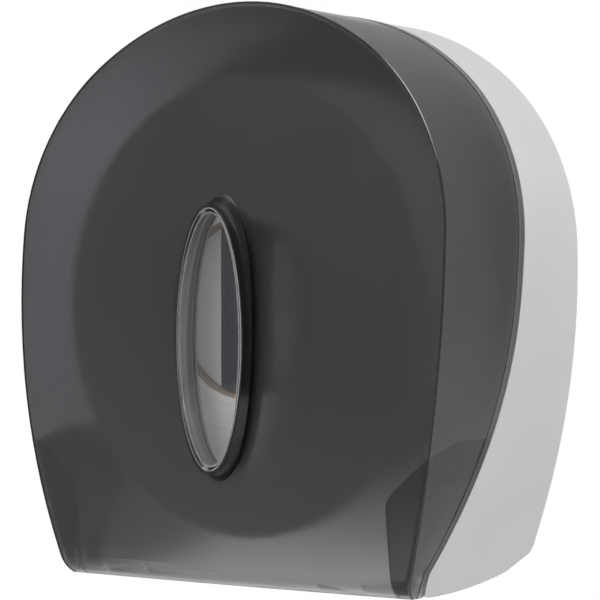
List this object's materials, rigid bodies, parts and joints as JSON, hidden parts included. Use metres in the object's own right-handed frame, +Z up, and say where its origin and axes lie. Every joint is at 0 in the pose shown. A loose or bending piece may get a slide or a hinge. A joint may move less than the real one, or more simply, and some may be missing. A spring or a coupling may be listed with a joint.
{
  "type": "jumbo toilet roll dispenser",
  "caption": "Wall-hung jumbo toilet roll dispenser with an arched smoked cover that hinges at its foot, an oval domed window and a light grey base.",
  "frame": {"origin": "where the spindle's axis meets the wall plane, at the centre of the four wall slots", "axes": "+X to the dispenser's right as seen from the front, +Y into the wall, so the front faces -Y, +Z up"},
  "size_m": [0.2692, 0.137, 0.2879],
  "materials": {
    "base_plastic": "moulded light grey plastic, fine satin grain",
    "smoked_cover": "smoked translucent plastic, glossy outside",
    "smoked_lens": "lighter smoked clear plastic, polished",
    "ear_plastic": "dark smoked plastic",
    "dark_plastic": "dark grey plastic",
    "black_plastic": "black acetal, satin",
    "grey_plastic": "grey moulded plastic",
    "hub_plastic": "navy-black moulded plastic",
    "bush_plastic": "natural acetal",
    "core_board": "wound grey-brown board",
    "tissue_paper": "soft wound tissue with fine layered edges",
    "strip_steel": "thin toothed strip, brushed",
    "screw_steel": "zinc plated",
    "screw_black": "black oxide, satin",
    "keeper_steel": "pressed zinc plated steel",
    "lock_metal": "nickel plated, bright"
  },
  "bodies": {
    "wall_base": {"base_shell": "base_plastic", "tear_strip_left": "strip_steel", "tear_strip_right": "strip_steel", "spindle_post": "grey_plastic", "spindle_screws": "screw_steel", "spindle_cap": "dark_plastic", "cap_screw": "screw_black", "lock_barrel": "lock_metal", "lock_nut": "lock_metal", "hinge_pin_left": "black_plastic", "hinge_pin_right": "black_plastic"},
    "cover": {"front_cover": "smoked_cover", "window_lens": "smoked_lens", "lens_retainer": "dark_plastic", "hinge_ear_left": "ear_plastic", "hinge_ear_right": "ear_plastic", "lock_keeper": "keeper_steel", "keeper_screws": "screw_steel"},
    "roll": {"core_hub": "hub_plastic", "hub_bush": "bush_plastic", "roll_core": "core_board", "tissue_roll": "tissue_paper"},
    "lock": {"lock_plug": "lock_metal", "lock_cam": "keeper_steel", "cam_screw": "screw_steel"}
  },
  "joints": [
    {"name": "cover_hinge", "type": "hinge", "parent": "wall_base", "child": "cover", "pos_m": [0, -0.1045, -0.1328], "axis": [1, 0, 0], "range_deg": [0, 90]},
    {"name": "roll_spin", "type": "hinge", "parent": "wall_base", "child": "roll", "pos_m": [0, 0, 0], "axis": [0, 1, 0], "continuous": true},
    {"name": "lock_turn", "type": "hinge", "parent": "wall_base", "child": "lock", "pos_m": [0, -0.02, 0.13], "axis": [0, 0, -1], "range_deg": [0, 90]}
  ]
}
